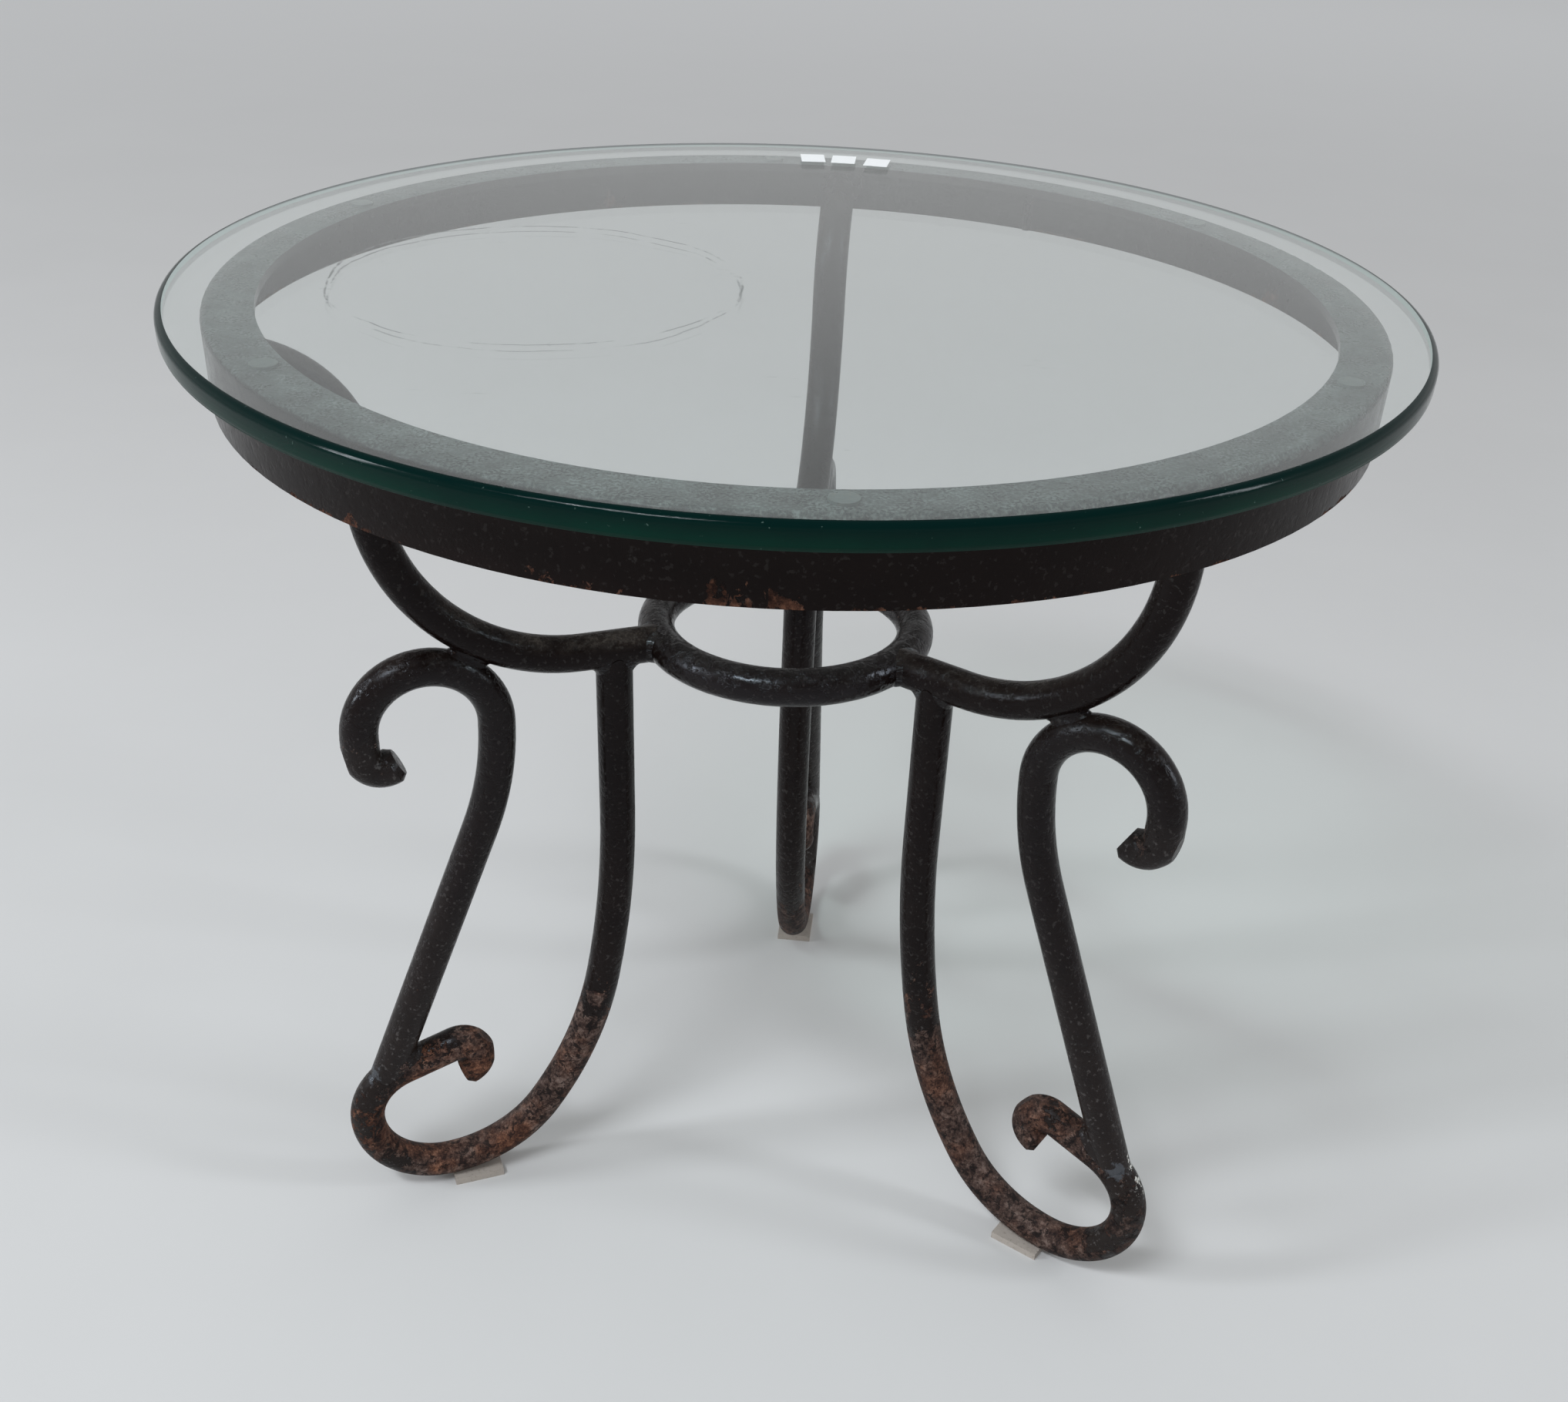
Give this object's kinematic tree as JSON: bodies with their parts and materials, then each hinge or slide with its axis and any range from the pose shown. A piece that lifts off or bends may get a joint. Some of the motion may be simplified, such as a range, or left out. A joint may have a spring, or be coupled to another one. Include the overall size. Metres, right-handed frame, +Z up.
{
  "type": "garden table",
  "caption": "Low round garden table: clear glass top resting on a rolled steel ring, carried by scrolled round-bar legs welded to a small hub ring.",
  "frame": {"origin": "on the floor, under the middle of the table", "axes": "+Z up, +Y away from the viewer in the picture, +X to the viewer's right"},
  "size_m": [0.5999, 0.6, 0.5419],
  "materials": {
    "glass": "clear float glass, ground edge",
    "steel": "worn satin black paint over hammered steel, rusting low down",
    "weld": "painted weld beads, partly ground",
    "clear_plastic": "clear soft plastic"
  },
  "bodies": {
    "frame": {"ring_frame": "steel", "ring_seam_weld": "weld", "hub_ring": "steel", "hub_seam_weld": "weld", "arm_left": "steel", "arm_right": "steel", "arm_back": "steel", "inner_leg_left": "steel", "inner_leg_right": "steel", "inner_leg_back": "steel", "outer_scroll_left": "steel", "outer_scroll_right": "steel", "outer_scroll_back": "steel", "ring_arm_welds": "weld", "hub_arm_welds": "weld", "leg_arm_welds": "weld", "crown_welds": "weld", "foot_welds": "weld", "foot_pad_left": "clear_plastic", "foot_pad_right": "clear_plastic", "foot_pad_back": "clear_plastic", "glass_bumpers": "clear_plastic"},
    "glass": {"glass_top": "glass"}
  },
  "joints": [
    {"name": "glass_lift", "type": "slide", "parent": "frame", "child": "glass", "axis": [0, 0, 1], "range_m": [0, 0.15]}
  ]
}
